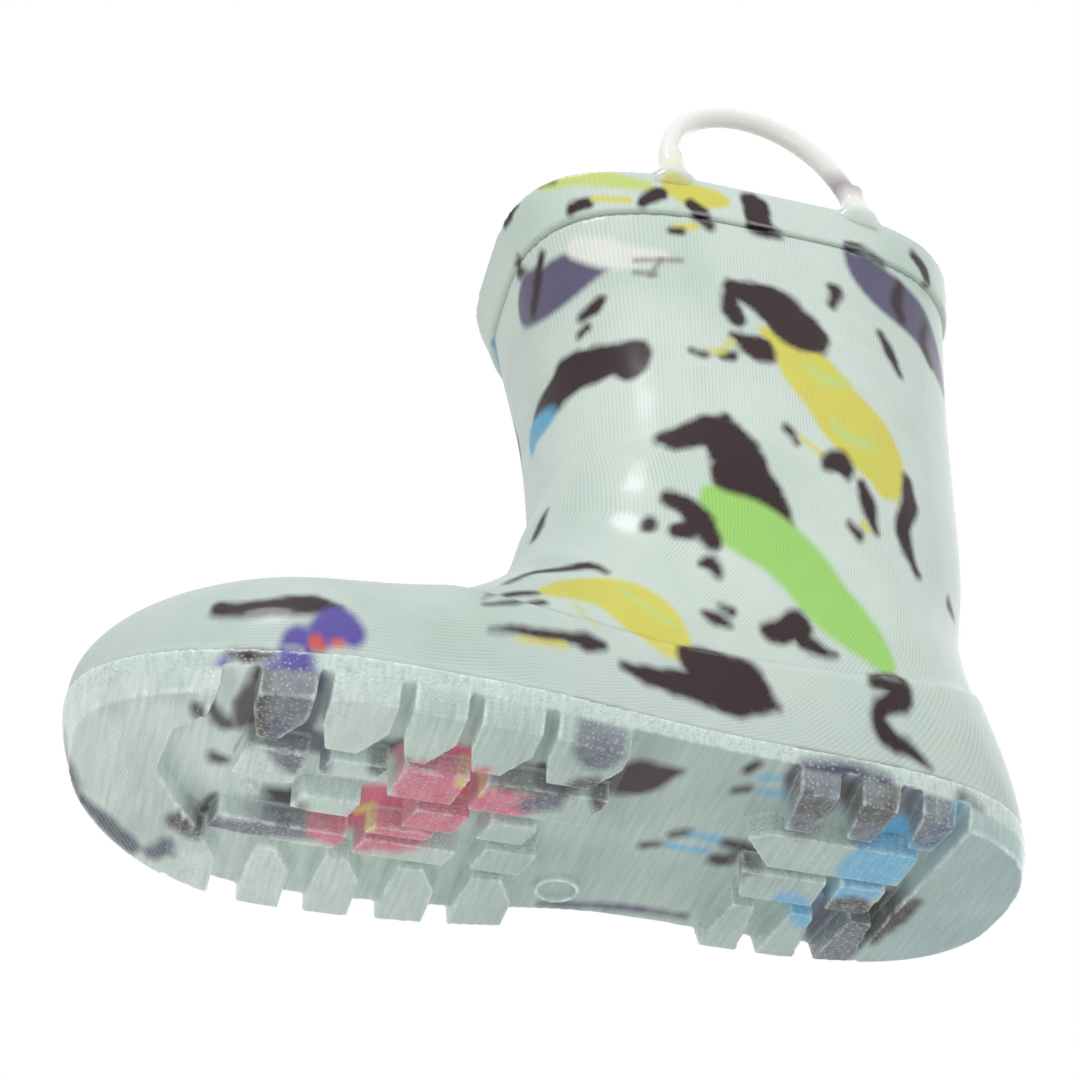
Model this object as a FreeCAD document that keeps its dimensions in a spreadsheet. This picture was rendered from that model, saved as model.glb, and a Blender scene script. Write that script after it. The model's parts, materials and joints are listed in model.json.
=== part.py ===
import FreeCAD, Part
import math
import os
import Sketcher

# Child's pull-on rain boot, left foot.  Toe towards -Y, outer side of the foot towards +X, ground at Z = 0.
# A clear moulded shell and outsole over a printed sock lining, with a loose footbed and two pull handles.

doc = FreeCAD.newDocument("rain_boot")

# ------------------------------------------------------------------ driving sizes, mm and degrees
SIZES = [
    ("sole_length", 176.0, "toe tip to back of heel"),
    ("ball_width", 70.0, "across the ball of the foot"),
    ("heel_width", 60.0, "across the heel"),
    ("rim_height", 145.0, "ground to top of the leg"),
    ("instep_height", 78.0, "ground to the bend at the front of the ankle"),
    ("toe_height", 37.0, "ground to the top of the toe cap"),
    ("leg_length", 100.0, "leg opening, front to back"),
    ("leg_width", 69.0, "leg opening, side to side"),
    ("shell_wall", 2.4, "clear shell"),
    ("lining_wall", 0.9, "knitted sock lining"),
    ("band_height", 10.0, "thick band round the rim"),
    ("band_proud", 0.9, "band stands out from the shell"),
    ("foot_ledge", 1.1, "foot part stands out from the leg part"),
    ("welt_proud", 1.5, "outsole edge stands out from the shell"),
    ("lug_height", 4.6, "ground to the recessed base of the tread"),
    ("sole_thick", 3.2, "outsole between its tread base and the upper"),
    ("toe_spring", 6.5, "toe tip lifted off the ground"),
    ("spring_start", 44.0, "from mid length to where the toe starts to lift"),
    ("groove", 2.4, "gap between tread lugs"),
    ("rib_pitch", 1.8, "fine ribs on the toe and heel pads"),
    ("rib_depth", 0.4, "depth of the fine ribs"),
    ("stud_dia", 2.6, "small round pips on the sole"),
    ("ring_dia", 8.6, "plain raised ring on the waist of the sole"),
    ("panel_thick", 1.0, "sewn bottom of the sock lining"),
    ("seam_size", 1.0, "overlock seam round the lining bottom"),
    ("foam_thick", 3.2, "footbed foam"),
    ("cover_thick", 0.8, "cloth on the footbed"),
    ("footbed_gap", 1.3, "free space round the footbed"),
    ("handle_dia", 4.5, "thickness of a pull handle"),
    ("handle_span", 41.0, "between the two ends of a handle"),
    ("handle_rise", 22.5, "top of the handle above its ends"),
    ("handle_lean", 7.0, "crown of the handle towards the toe"),
    ("handle_place", 36.0, "middle of a handle, behind mid length"),
    ("root_height", 2.6, "pivot of a handle above the rim"),
    ("root_dia", 5.6, "ball at each end of a handle"),
    ("root_gap", 0.35, "clearance round each ball"),
    ("root_lip", 1.5, "socket rim below the pivot"),
]
sheet = doc.addObject("Spreadsheet::Sheet", "sizes")
for row, (alias, value, meaning) in enumerate(SIZES, 1):
    sheet.set("A%d" % row, meaning)
    sheet.set("B%d" % row, str(value))
    sheet.setAlias("B%d" % row, alias)
doc.recompute()


def size(alias):
    return float(sheet.get(alias))


def bind(item, prop, formula):
    """Tie one property to the sheet; words in the formula are sheet aliases."""
    words = sorted((alias for alias, value, meaning in SIZES), key=len, reverse=True)
    out = formula
    for word in words:
        out = out.replace(word, "<<sizes>>." + word)
    item.setExpression(prop, out.replace("<<sizes>>.<<sizes>>.", "<<sizes>>."))


sheet.Label = "sizes"
half_length = size("sole_length") / 2
base_z = size("lug_height")
parting_z = base_z + size("sole_thick")
spring_y = -size("spring_start")
REACH = 30.0       # how far cutting shapes run past the boot
STEPS = 28         # points round each cross-section
FOAM_LIFT = 0.3    # footbed clears the sewn lining bottom
LUG_BITE = 0.4     # lugs run this far up into the sole slab
PIP_HEIGHT = 1.2   # pips stand out from the tread base
WEB_MARGIN = 1.4   # a handle root's web is wider than its ball
ROOT_SHIFT = 0.6   # handle roots sit this far in from the middle of the band


# ------------------------------------------------------------------ the foot and leg form
def section(at_y, at_z, lean, near, far, left, right, near_power, far_power):
    """Closed smooth curve in the plane through X that leans by lean degrees about (at_y, at_z)."""
    along = FreeCAD.Vector(0, math.cos(math.radians(lean)), -math.sin(math.radians(lean)))
    pivot = FreeCAD.Vector(0, at_y, at_z)
    middle, half = (near + far) / 2, (far - near) / 2
    points = []
    for step in range(STEPS):
        turn = 2 * math.pi * (step + 0.5) / STEPS
        c, s = math.cos(turn), math.sin(turn)
        power = 2 / (far_power if c > 0 else near_power)
        reach = middle + half * math.copysign(abs(c) ** power, c)
        side = (left if s > 0 else right) * math.copysign(abs(s) ** power, s)
        points.append(pivot + along * reach + FreeCAD.Vector(side, 0, 0))
    curve = Part.BSplineCurve()
    curve.interpolate(Points=points, PeriodicFlag=True, Parameters=[float(step) for step in range(STEPS + 1)])
    return curve


def rim_ends():
    """Y of the back and the front of the leg opening."""
    back = half_length - 4.0
    return back, back - size("leg_length")


def leg_sections(inset):
    """Level sections from above the rim down to the ankle."""
    ankle_z, rim_z = size("instep_height"), size("rim_height")
    back, front = rim_ends()
    ankle_front, ankle_back = -5.0, half_length - 4.8
    out = []
    for rise, flare, power in ((1.15, 1.18, 3.3), (1.0, 1.0, 3.3), (0.85, 0.72, 3.0), (0.63, 0.48, 2.6),
                               (0.33, 0.17, 2.35), (0.0, 0.0, 2.25)):
        at_front = ankle_front + (front - ankle_front) * flare
        at_back = ankle_back + (back - ankle_back) * min(1.0, rise * 1.3)
        half = (size("leg_width") / 2 - 1.0) + 1.0 * flare - inset
        out.append(section(0, ankle_z + (rim_z - ankle_z) * rise, 0, at_front + inset, at_back - inset,
                           half, half, power, power))
    return out


def heel_sections(inset):
    """Sections fanned about a point in front of the ankle, from level to upright."""
    pivot_y, pivot_z = -30.0, size("instep_height")
    heel, ball = size("heel_width") / 2, size("ball_width") / 2
    back = half_length - pivot_y
    below = pivot_z + 12.0
    plan = (
        (8, 25.0, back - 5.0, heel + 3.0, heel + 2.8, 2.3),
        (15, 24.6, back - 3.9, heel + 2.0, heel + 1.8, 2.3),
        (21, 24.4, back + 1.8, heel + 1.6, heel + 0.9, 2.35),
        (27, 24.8, back + 11.6, heel + 1.4, heel + 0.9, 2.45),
        (34, 25.8, back + 20.4, heel + 1.5, heel + 0.8, 2.6),
        (45, 28.0, below / math.sin(math.radians(45)), heel + 1.0, heel - 0.6, 2.7),
        (60, 31.6, below / math.sin(math.radians(60)), ball - 2.2, ball - 6.4, 2.7),
        (75, 35.8, below / math.sin(math.radians(75)), ball + 0.2, ball - 2.0, 2.7),
        (90, 39.4, below, ball + 0.8, ball + 0.4, 2.7),
    )
    return [section(pivot_y, pivot_z, lean, near + inset, far - inset, left - inset, right - inset, 2.2, power)
            for lean, near, far, left, right, power in plan]


def toe_sections(inset):
    """Upright sections closing over the toe."""
    start_y, ball = -42.0, size("ball_width") / 2
    length = half_length - size("welt_proud") + start_y - inset
    tip_z = 16.5
    top, bottom = size("toe_height") - inset, -12.0 + inset
    out = []
    for share in (0.0, 0.25, 0.47, 0.65, 0.79, 0.89, 0.955, 0.988, 0.9985):
        close = math.sqrt(1 - share ** 2)
        shift = -3.6 * share
        width = (ball - inset) * close
        high, low = tip_z + (top - tip_z) * close, tip_z + (bottom - tip_z) * close
        out.append(section(start_y - length * share, 0, 90, -high, -low,
                           width + 0.8 * close + shift * close, width + 0.9 * close - shift * close, 2.15, 2.7))
    return out


def boot_form(name, inset):
    """Solid form of the whole boot, drawn in from the outside of the leg by inset."""
    rings = leg_sections(inset) + heel_sections(inset) + toe_sections(inset)
    skin = Part.BSplineSurface()
    skin.buildFromNSections(rings)
    ends = [Part.Face(Part.Wire([ring.toShape()])) for ring in (rings[0], rings[-1])]
    shell = Part.makeShell([skin.toShape()] + ends)
    shell.sewShape()
    form = doc.addObject("Part::Feature", name)
    form.Shape = Part.makeSolid(shell)
    return form


# ------------------------------------------------------------------ sketched layers
def new_body(name, label=None):
    body = doc.addObject("PartDesign::Body", name)
    body.Label = label or name
    if hasattr(body, "AllowCompound"):
        body.AllowCompound = True
    return body


def new_sketch(body, name, role):
    sketch = body.newObject("Sketcher::SketchObject", name)
    plane = [item for item in body.Origin.OriginFeatures if item.Role == role][0]
    sketch.AttachmentSupport = [(plane, "")]
    sketch.MapMode = "FlatFace"
    return sketch


def pad(body, name, sketch, formula, midplane=False):
    feature = body.newObject("PartDesign::Pad", name)
    feature.Profile = sketch
    feature.Midplane = midplane
    bind(feature, "Length", formula)
    body.Tip = feature
    sketch.Visibility = False
    return feature


def closed_path(sketch, points):
    corners = [FreeCAD.Vector(x, y, 0) for x, y in points]
    for start, end in zip(corners, corners[1:] + corners[:1]):
        sketch.addGeometry(Part.LineSegment(start, end), False)


def spring(y):
    """Height that the toe spring adds at y."""
    run = half_length - size("spring_start")
    radius = (run ** 2 + size("toe_spring") ** 2) / (2 * size("toe_spring"))
    return 0.0 if y > spring_y else radius - math.sqrt(radius ** 2 - (y - spring_y) ** 2)


def sole_layer(name, low, high):
    """Layer between two levels that both curve up at the toe; a layer without a top is left open to above."""
    body = new_body(name)
    sketch = new_sketch(body, name + "_profile", "YZ_Plane")
    back, front, middle = half_length + REACH, -half_length - REACH / 3, (spring_y - half_length) / 2

    def edge(level, forwards):
        flat = [FreeCAD.Vector(back, level, 0), FreeCAD.Vector(spring_y, level, 0)]
        bend = [FreeCAD.Vector(y, level + spring(y), 0) for y in (spring_y, middle, front)]
        sketch.addGeometry(Part.LineSegment(*(flat if forwards else flat[::-1])), False)
        sketch.addGeometry(Part.Arc(*bend), False)
        return bend[-1]

    low_tip = edge(low, True)
    if high is None:
        top = size("rim_height") + 2 * REACH
        rest = [low_tip, FreeCAD.Vector(front, top, 0), FreeCAD.Vector(back, top, 0), FreeCAD.Vector(back, low, 0)]
    else:
        high_tip = edge(high, False)
        sketch.addGeometry(Part.LineSegment(FreeCAD.Vector(back, high, 0), FreeCAD.Vector(back, low, 0)), False)
        rest = [low_tip, high_tip]
    for start, end in zip(rest, rest[1:]):
        sketch.addGeometry(Part.LineSegment(start, end), False)
    pad(body, name + "_pad", sketch, "ball_width * 2", True)
    return body


def common(name, *items):
    feature = doc.addObject("Part::MultiCommon", name)
    feature.Shapes = list(items)
    return feature


def fuse(name, *items):
    feature = doc.addObject("Part::MultiFuse", name)
    feature.Shapes = list(items)
    return feature


def cut(name, base, tool):
    feature = doc.addObject("Part::Cut", name)
    feature.Base = base
    feature.Tool = tool
    return feature


leg_outside = boot_form("leg_outside", 0.0)
foot_outside = boot_form("foot_outside", -size("foot_ledge"))
welt_outside = boot_form("welt_outside", -size("welt_proud"))
band_outside = boot_form("band_outside", -size("band_proud"))
shell_inside = boot_form("shell_inside", size("shell_wall"))
lining_inside = boot_form("lining_inside", size("shell_wall") + size("lining_wall"))
seam_inside = boot_form("seam_inside", size("shell_wall") + size("lining_wall") + size("seam_size"))
footbed_inset = size("shell_wall") + size("lining_wall") + size("seam_size") + size("footbed_gap")
footbed_outside = boot_form("footbed_outside", footbed_inset)

panel_top = parting_z + size("panel_thick")
foam_low = panel_top + FOAM_LIFT
foam_top = foam_low + size("foam_thick")
cover_top = foam_top + size("cover_thick")
above_sole = sole_layer("above_sole", parting_z, None)
outsole_layer = sole_layer("outsole_layer", base_z, parting_z)
tread_layer = sole_layer("tread_layer", 0.0, base_z + LUG_BITE)
pip_layer = sole_layer("pip_layer", base_z - PIP_HEIGHT, base_z + LUG_BITE)
panel_layer = sole_layer("panel_layer", parting_z, panel_top)
above_panel = sole_layer("above_panel", panel_top, None)
seam_layer = sole_layer("seam_layer", panel_top, panel_top + size("seam_size"))
foam_layer = sole_layer("foam_layer", foam_low, foam_top)
cover_layer = sole_layer("cover_layer", foam_top, cover_top)


def box_between(name, low_formula, high_formula):
    """Wide box between two levels."""
    box = doc.addObject("Part::Box", name)
    bind(box, "Length", "ball_width * 2")
    bind(box, "Width", "sole_length * 2")
    bind(box, "Height", "(" + high_formula + ") - (" + low_formula + ")")
    bind(box, "Placement.Base.x", "-ball_width")
    bind(box, "Placement.Base.y", "-sole_length")
    bind(box, "Placement.Base.z", low_formula)
    return box


below_band = box_between("below_band", "-rim_height", "rim_height - band_height")
band_level = box_between("band_level", "rim_height - band_height", "rim_height")
below_rim = box_between("below_rim", "-rim_height", "rim_height")


# ------------------------------------------------------------------ upper shell
def foot_part_region():
    """Side view of the thicker foot part: low at the sides, high at the heel and over the instep."""
    body = new_body("foot_part_region")
    sketch = new_sketch(body, "foot_part_profile", "YZ_Plane")
    heel_z, side_z, top_z = 36.0, 24.5, size("toe_height") + REACH
    ledge = [(half_length + REACH, heel_z + 4), (half_length - 6, heel_z - 1), (62, 27.5), (38, side_z), (0, side_z + 1),
             (-20, side_z + 4.5), (-33, 39), (-41, 54), (-44, top_z)]
    curve = Part.BSplineCurve()
    curve.interpolate([FreeCAD.Vector(y, z, 0) for y, z in ledge])
    sketch.addGeometry(curve, False)
    corners = [ledge[-1], (-half_length - REACH, top_z), (-half_length - REACH, -REACH),
               (half_length + REACH, -REACH), ledge[0]]
    for start, end in zip(corners, corners[1:]):
        sketch.addGeometry(Part.LineSegment(FreeCAD.Vector(*start, 0), FreeCAD.Vector(*end, 0)), False)
    pad(body, "foot_part_pad", sketch, "ball_width * 2", True)
    return body


foot_part = common("foot_part", foot_outside, foot_part_region(), above_sole)
leg_part = common("leg_part", leg_outside, above_sole, below_band)
upper_shell = cut("upper_shell", fuse("upper_outside", foot_part, leg_part), shell_inside)


# ------------------------------------------------------------------ rim band and pull handles
def root_point(side, end):
    """Pivot at one end of a handle: side is +1 outer, -1 inner; end is -1 towards the toe, +1 to the heel."""
    y = size("handle_place") + end * size("handle_span") / 2
    wall_middle = (size("shell_wall") - size("band_proud")) / 2
    x = side * (size("leg_width") / 2 - wall_middle - ROOT_SHIFT)
    return FreeCAD.Vector(x, y, size("rim_height") + size("root_height"))


def root_ball(name, point, formula):
    ball = doc.addObject("Part::Sphere", name)
    bind(ball, "Radius", formula)
    ball.Placement.Base = point
    return ball


def root_web(name, point):
    """Web that swells out of the band and ends in the socket of a handle root."""
    top = point.z - size("root_lip")
    foot_z = size("rim_height") - size("band_height") + 1.0
    outer, inner = size("root_dia") / 2 + WEB_MARGIN, size("shell_wall") / 2 + size("band_proud") / 2
    top_ring = Part.Wire([Part.Circle(FreeCAD.Vector(point.x, point.y, top), FreeCAD.Vector(0, 0, 1), outer).toShape()])
    rim_ring = Part.Wire([Part.Ellipse(FreeCAD.Vector(point.x, point.y + 5.4, size("rim_height")),
                                       FreeCAD.Vector(point.x + inner + 0.9, point.y, size("rim_height")),
                                       FreeCAD.Vector(point.x, point.y, size("rim_height"))).toShape()])
    foot_ring = Part.Wire([Part.Ellipse(FreeCAD.Vector(point.x, point.y + 2.0, foot_z),
                                        FreeCAD.Vector(point.x + inner, point.y, foot_z),
                                        FreeCAD.Vector(point.x, point.y, foot_z)).toShape()])
    web = doc.addObject("Part::Feature", name)
    web.Shape = Part.makeLoft([top_ring, rim_ring, foot_ring], True, False)
    return web


def pull_handle(label, side):
    """Round loop between two balls; its crown leans towards the toe."""
    body = new_body(label + "_loop")
    toe_end, heel_end = root_point(side, -1), root_point(side, 1)
    body.Placement.Base = FreeCAD.Vector(toe_end.x, size("handle_place"), toe_end.z)
    path = new_sketch(body, label + "_path", "YZ_Plane")
    half, rise, lean = size("handle_span") / 2, size("handle_rise"), size("handle_lean")
    loop = [(-half, 0), (-half - 0.6, rise * 0.34), (-half + 2.6, rise * 0.72), (-lean, rise),
            (half * 0.36, rise * 0.86), (half * 0.80, rise * 0.46), (half, 0)]
    curve = Part.BSplineCurve()
    curve.interpolate([FreeCAD.Vector(y, z, 0) for y, z in loop])
    path.addGeometry(curve, False)
    ring = new_sketch(body, label + "_ring", "XY_Plane")
    ring.addGeometry(Part.Circle(FreeCAD.Vector(0, -half, 0), FreeCAD.Vector(0, 0, 1), size("handle_dia") / 2), False)
    pipe = body.newObject("PartDesign::AdditivePipe", label + "_pipe")
    pipe.Profile = ring
    pipe.Spine = (path, ["Edge1"])
    body.Tip = pipe
    balls = [root_ball(label + "_ball_%d" % end, root_point(side, end), "root_dia / 2") for end in (-1, 1)]
    handle = fuse(label, body, *balls)
    handle.Label = label
    return handle


webs = [root_web("web_%d_%d" % (side, end), root_point(side, end)) for side in (1, -1) for end in (-1, 1)]
sockets = [root_ball("socket_%d_%d" % (side, end), root_point(side, end), "root_dia / 2 + root_gap")
           for side in (1, -1) for end in (-1, 1)]
band_ring = cut("band_ring", common("band_block", band_outside, band_level), shell_inside)
rim_band = cut("rim_band", fuse("band_with_webs", band_ring, *webs), fuse("band_sockets", *sockets))
outer_handle = pull_handle("outer_handle", 1)
inner_handle = pull_handle("inner_handle", -1)


# ------------------------------------------------------------------ outsole
def slanted_block(low_x, high_x, front, back, slant):
    """Tread block whose ends slant, as four corners."""
    return [(low_x, front), (high_x, front + slant), (high_x, back + slant), (low_x, back)]


def pointed_block(edge_x, tip_x, front, back):
    """Edge block with a blunt point towards the middle of the sole."""
    middle, quarter = (front + back) / 2, (back - front) / 4
    return [(edge_x, front), (edge_x, back), (tip_x + (edge_x - tip_x) * 0.4, back), (tip_x, middle + quarter),
            (tip_x, middle - quarter), (tip_x + (edge_x - tip_x) * 0.4, front)]


def tread_blocks():
    """Outlines of every lug, in rows along the foot."""
    edge = size("ball_width")
    gap = size("groove")
    rows = []
    near_starts = (-58.0, -46.5, -33.0, -21.5, -8.5)
    near_ends = near_starts[1:] + (4.5 + gap,)
    for front, end in zip(near_starts, near_ends):
        rows.append([(edge, front + 2), (edge, end - gap + 2), (27, end - gap + 1), (20, end - gap - 3),
                     (20, front + 2.5), (27, front + 1)])
    for low_x, high_x, front, back in ((7.5, 17.2, -58, -47.5), (12.5, 17.4, -44, -34), (8.5, 17.6, -31.5, -20),
                                       (8, 17.4, -17, 4.5), (0, 5, -47, -36.5), (-0.5, 5.5, -27, -17.5),
                                       (-1, 5, -13.5, -5), (-11.5, -6.2, -60, -37), (-4.4, -1.8, -33, -22),
                                       (-12, -6.6, -34, -17), (-11.5, -4, -12.5, -3)):
        rows.append(slanted_block(low_x, high_x, front, back, 1.6))
    for front, back in ((-64, -57), (-51.5, -43.5), (-39, -30.5), (-25.5, -16.5), (-12, -2)):
        rows.append([(-edge, front), (-edge, back), (-22, back), (-14.5, back - 3.4), (-14.5, front + 1.0),
                     (-22, front)])
    for index in range(3):
        start = 35.5 + 11.4 * index
        rows.append(pointed_block(edge, 17.0, start, start + 9.2))
        rows.append(pointed_block(-edge, -10.5, start - 0.4, start + 8.6))
    rows.append([(12.5, 32.5), (15, 36), (14.4, 64), (4.0, 64), (4.0, 39)])
    rows.append([(1.6, 35), (1.6, 51.5), (-7.5, 51.5), (-7.5, 37.5)])
    rows.append([(1.6, 54), (1.6, 63), (-7.5, 62), (-7.5, 54)])
    return rows


lugs = new_body("tread_lugs")
lug_sketch = new_sketch(lugs, "lug_outlines", "XY_Plane")
for outline in tread_blocks():
    closed_path(lug_sketch, outline)
pad(lugs, "lug_pad", lug_sketch, "lug_height + toe_spring + sole_thick")


def toe_pad_edge(at_y):
    """Hollow edge of the toe pad, from the inner to the outer side of the foot."""
    return [(-27, at_y), (-13, at_y + 2.5), (1, at_y - 6.5), (16, at_y - 5), (22, at_y), (30, at_y + 1)]


def end_pad(name, at_y, keep_front):
    """Ribbed pad at one end of the sole: the part of the sole beyond a round edge."""
    body = new_body(name)
    sketch = new_sketch(body, name + "_outline", "XY_Plane")
    wide, far = size("ball_width"), (-half_length - REACH) if keep_front else (half_length + REACH)
    edge = toe_pad_edge(at_y) if keep_front else [(-16, at_y - 1.5), (22.5, at_y + 1)]
    closed_path(sketch, [(-wide, edge[0][1])] + edge + [(wide, edge[-1][1]), (wide, far), (-wide, far)])
    pad(body, name + "_pad", sketch, "lug_height + toe_spring + sole_thick")
    return body


def rib_grooves(name, start_y, end_y):
    """Fine grooves across an end pad, cut up from its face."""
    grooves = []
    pitch, depth = size("rib_pitch"), size("rib_depth")
    for index in range(int(abs(end_y - start_y) / pitch)):
        y = start_y + math.copysign(pitch * (index + 0.5), end_y - start_y)
        groove = doc.addObject("Part::Box", name + "_%d" % index)
        bind(groove, "Length", "ball_width * 2")
        bind(groove, "Width", "rib_pitch * 0.45")
        bind(groove, "Height", "rib_depth + 1")
        groove.Placement.Base = FreeCAD.Vector(-size("ball_width"), y, spring(y) - 1)
        grooves.append(groove)
    return grooves


TOE_PAD_Y, HEEL_PAD_Y = -64.0, 68.0          # middle of each pad's inner edge
RIB_END_TOE, RIB_END_HEEL = -61.0, 66.0      # fine ribs stop here
toe_pad = end_pad("toe_pad", TOE_PAD_Y, True)
heel_pad = end_pad("heel_pad", HEEL_PAD_Y, False)
pads_cut = cut("ribbed_pads", common("end_pads", fuse("pads", toe_pad, heel_pad), tread_layer, welt_outside),
               fuse("rib_cuts", *(rib_grooves("toe_rib", -half_length, RIB_END_TOE) +
                                  rib_grooves("heel_rib", half_length, RIB_END_HEEL))))

PIP_PLACES = [(18.5, -66.6), (-1.6, -54.2), (-20.6, -72.5), (-10.6, -2.3), (-11.9, 46.0), (7.7, 78.8),
              (-4.4, 83.0), (-18.0, 76.0)]
RING_PLACE = FreeCAD.Vector(-21.0, 6.5, 0)
RING_LINE = 0.8    # width of the raised ring's line
pips = new_body("pips")
pip_sketch = new_sketch(pips, "pip_outlines", "XY_Plane")
for x, y in PIP_PLACES:
    pip_sketch.addGeometry(Part.Circle(FreeCAD.Vector(x, y, 0), FreeCAD.Vector(0, 0, 1), size("stud_dia") / 2), False)
for radius in (size("ring_dia") / 2, size("ring_dia") / 2 - RING_LINE):
    pip_sketch.addGeometry(Part.Circle(RING_PLACE, FreeCAD.Vector(0, 0, 1), radius), False)
pad(pips, "pip_pad", pip_sketch, "lug_height + toe_spring")

outsole = fuse("outsole",
               common("sole_slab", welt_outside, outsole_layer),
               common("lug_blocks", lugs, tread_layer, welt_outside),
               pads_cut,
               common("pip_blocks", pips, pip_layer, welt_outside))

# ------------------------------------------------------------------ lining and footbed
sock_lining = cut("sock_lining", common("sock_outside", shell_inside, above_panel, below_rim), lining_inside)
lining_sole = common("lining_sole", shell_inside, panel_layer)
sole_seam = cut("sole_seam", common("seam_outside", lining_inside, seam_layer), seam_inside)
footbed_foam = common("footbed_foam", footbed_outside, foam_layer)
footbed_cover = common("footbed_cover", footbed_outside, cover_layer)

doc.recompute()

# ------------------------------------------------------------------ check and write
parts = [upper_shell, rim_band, outer_handle, inner_handle, outsole, sock_lining, lining_sole, sole_seam,
         footbed_foam, footbed_cover]
for item in doc.Objects:
    if any(word in ("Invalid", "Error") for word in item.State):
        raise RuntimeError("%s is %s" % (item.Name, item.State))
os.makedirs("parts", exist_ok=True)
for part in parts:
    shape = part.Shape
    if shape.isNull() or not shape.isValid():
        raise RuntimeError("%s has no sound solid" % part.Label)
    part.Label = part.Name
    shape.exportStep("parts/%s.step" % part.Label)
    print("%-16s solids %d  volume %.1f cm3" % (part.Label, len(shape.Solids), shape.Volume / 1000))
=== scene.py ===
"""Looks for a child's pull-on rain boot: clear glossy PVC moulded over a printed knit sock."""

import json
import math

import bmesh
import bpy
import numpy as np
from mathutils import Matrix, Vector
from mathutils.bvhtree import BVHTree


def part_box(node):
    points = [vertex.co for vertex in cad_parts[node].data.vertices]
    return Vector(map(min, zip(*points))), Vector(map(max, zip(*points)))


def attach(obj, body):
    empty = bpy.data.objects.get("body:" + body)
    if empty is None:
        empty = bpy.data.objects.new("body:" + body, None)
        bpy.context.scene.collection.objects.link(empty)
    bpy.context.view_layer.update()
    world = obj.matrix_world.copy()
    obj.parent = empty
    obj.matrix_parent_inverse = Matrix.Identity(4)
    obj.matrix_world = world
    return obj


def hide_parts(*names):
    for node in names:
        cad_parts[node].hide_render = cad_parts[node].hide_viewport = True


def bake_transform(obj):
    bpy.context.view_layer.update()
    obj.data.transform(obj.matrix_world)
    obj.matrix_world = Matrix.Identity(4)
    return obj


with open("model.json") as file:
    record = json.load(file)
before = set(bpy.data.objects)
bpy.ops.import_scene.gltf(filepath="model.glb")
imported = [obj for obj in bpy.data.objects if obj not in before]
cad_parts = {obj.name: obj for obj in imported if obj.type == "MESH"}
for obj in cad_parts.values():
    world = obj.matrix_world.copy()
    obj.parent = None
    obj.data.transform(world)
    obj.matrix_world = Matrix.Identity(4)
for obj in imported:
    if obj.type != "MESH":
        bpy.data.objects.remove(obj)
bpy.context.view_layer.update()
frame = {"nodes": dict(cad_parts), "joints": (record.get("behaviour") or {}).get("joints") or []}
MM = 0.001

# ------------------------------------------------------------------ places taken from the frame
joints = {joint["name"]: joint for joint in frame["joints"]}
RIM_Z = max(vertex.co.z for vertex in frame["nodes"]["sock_lining"].data.vertices)
TREAD_BASE = 4.6 * MM       # lug tips to the recessed base
ANKLE_Z = 78 * MM           # bend at the front of the ankle
FAN_Y = -30 * MM            # the knit fans out about this line in front of the ankle
TOE_LIFT_START = 44.0       # millimetres from mid length to where the toe starts to lift
TOE_LIFT_RADIUS = 152.0     # of the sole's bend at the toe, in millimetres
TOE_PAD_END, HEEL_PAD_START = -66.0, 67.0    # the ribbed end pads lie beyond these, in millimetres
PAD_FACE = 0.95             # the pads' grooves are all lower than this, in millimetres
PAD_RELIEF = 0.12           # share of the pads' groove depth that is kept under their fine ribs

# Spacing of the even skins, in millimetres.
UPPER_GRID, BAND_GRID, SOLE_GRID, HANDLE_GRID = 0.8, 0.45, 0.42, 0.4
PANEL_GRID, FOAM_GRID, COVER_GRID = 0.5, 0.7, 0.5


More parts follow.
